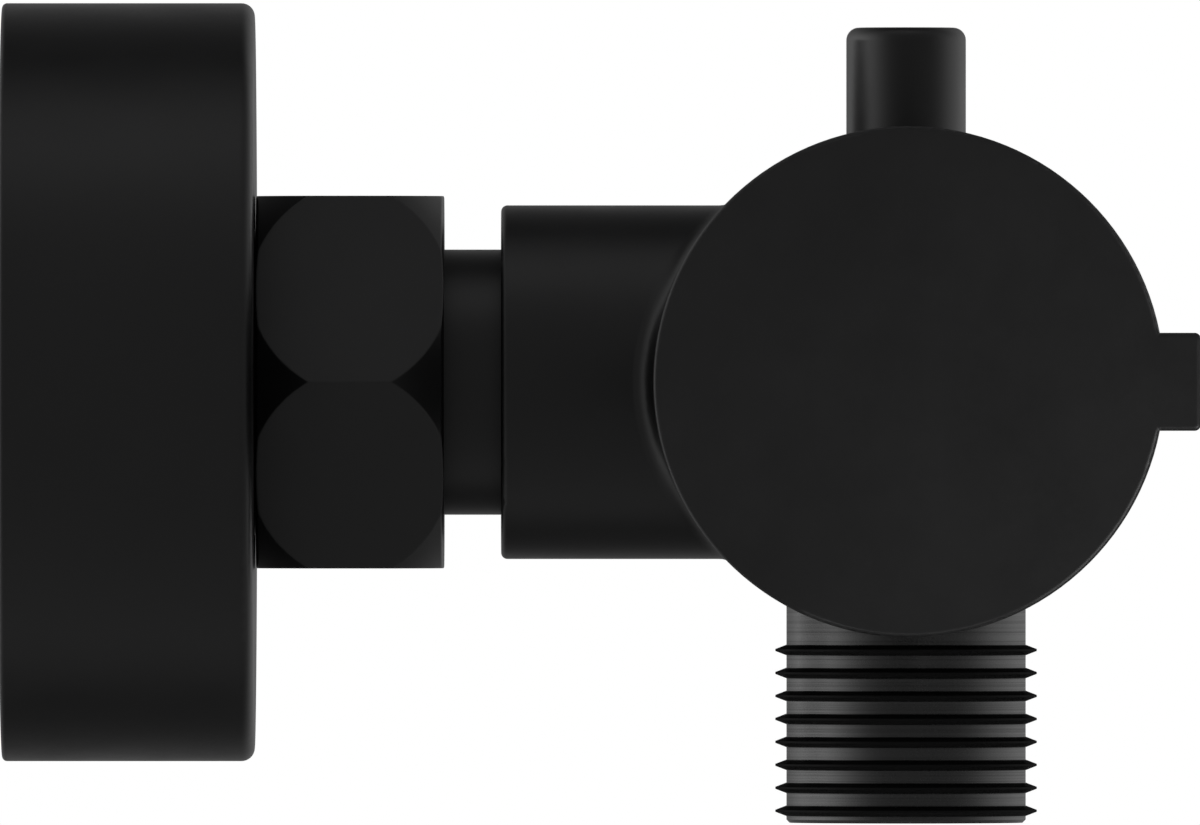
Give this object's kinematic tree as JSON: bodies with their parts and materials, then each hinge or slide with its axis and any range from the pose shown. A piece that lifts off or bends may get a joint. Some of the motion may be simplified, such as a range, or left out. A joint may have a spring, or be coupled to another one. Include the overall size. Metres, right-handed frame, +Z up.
{
  "type": "lockshield valve",
  "caption": "Matte black corner lockshield valve with round wall flange, captive union nut, blank cap over the regulating spindle, air vent and threaded outlet tail.",
  "frame": {"origin": "centre of the wall face, on the inlet axis", "axes": "+X from the wall through the union nut to the valve body, +Z up towards the air vent, cap facing -Y"},
  "size_m": [0.0944, 0.0756, 0.0648],
  "materials": {
    "matte_black": "satin powder coat, matte black",
    "thread_black": "thin matte black coat on a machined thread",
    "cap_black": "satin powder coat, matte black, flat turned face",
    "soft_rubber": "closed-cell sealing ring",
    "rubber": "moulded seal",
    "fibre": "compressed fibre washer",
    "white_plastic": "low-friction plastic",
    "grey_plastic": "moulded plastic",
    "brass": "turned brass",
    "nickel": "nickel plated brass",
    "steel": "turned stainless steel"
  },
  "bodies": {
    "valve": {"flange_cover": "matte_black", "flange_gasket": "soft_rubber", "compression_nut": "brass", "olive": "brass", "pipe_connector": "brass", "union_gasket": "fibre", "inlet_tail": "matte_black", "inlet_tail_seal": "rubber", "valve_body": "matte_black", "seat_ring": "brass", "outlet_tail": "thread_black", "outlet_tail_seal": "rubber", "headwork": "nickel", "headwork_seal": "rubber", "packing_ring": "white_plastic", "gland_nut": "nickel", "vent_body": "matte_black", "vent_body_seal": "rubber"},
    "nut_ring": {"slip_ring": "white_plastic"},
    "nut": {"union_nut": "matte_black"},
    "plug": {"valve_plug": "brass", "seat_washer": "rubber", "washer_screw": "steel", "plug_clip": "steel"},
    "spindle": {"spindle": "steel", "spindle_seal_inner": "rubber", "spindle_seal_outer": "rubber"},
    "vent_pin": {"vent_tip": "steel"},
    "vent_key": {"vent_screw": "steel"},
    "cap_inner": {"cap_carrier": "grey_plastic", "grip_ring": "rubber"},
    "cap": {"shield_cap": "cap_black", "cap_retainer": "grey_plastic"}
  },
  "joints": [
    {"name": "union_nut_shift", "type": "slide", "parent": "valve", "child": "nut_ring", "axis": [1, 0, 0], "range_m": [0, 0.0042]},
    {"name": "union_nut_turn", "type": "hinge", "parent": "nut_ring", "child": "nut", "pos_m": [0.028, 0, 0], "axis": [1, 0, 0], "range_deg": [0, 833]},
    {"name": "plug_lift", "type": "slide", "parent": "valve", "child": "plug", "axis": [0, -1, 0], "range_m": [0, 0.003]},
    {"name": "spindle_turn", "type": "hinge", "parent": "plug", "child": "spindle", "pos_m": [0.0715, -0.026, 0], "axis": [0, -1, 0], "range_deg": [0, 1080]},
    {"name": "vent_lift", "type": "slide", "parent": "valve", "child": "vent_pin", "axis": [0, 0, 1], "range_m": [0, 0.0012]},
    {"name": "vent_turn", "type": "hinge", "parent": "vent_pin", "child": "vent_key", "pos_m": [0.0715, -0.0085, 0.023], "axis": [0, 0, 1], "range_deg": [0, 540]},
    {"name": "cap_pull", "type": "slide", "parent": "valve", "child": "cap_inner", "axis": [0, -1, 0], "range_m": [0, 0.022]},
    {"name": "cap_spin", "type": "hinge", "parent": "cap_inner", "child": "cap", "pos_m": [0.0715, -0.0345, 0], "axis": [0, -1, 0], "continuous": true}
  ],
  "couplings": [
    {"joint": "union_nut_shift", "follows": "union_nut_turn", "m_per_rad": 0.00028871},
    {"joint": "plug_lift", "follows": "spindle_turn", "m_per_rad": 0.00015915},
    {"joint": "vent_lift", "follows": "vent_turn", "m_per_rad": 0.00012732}
  ]
}
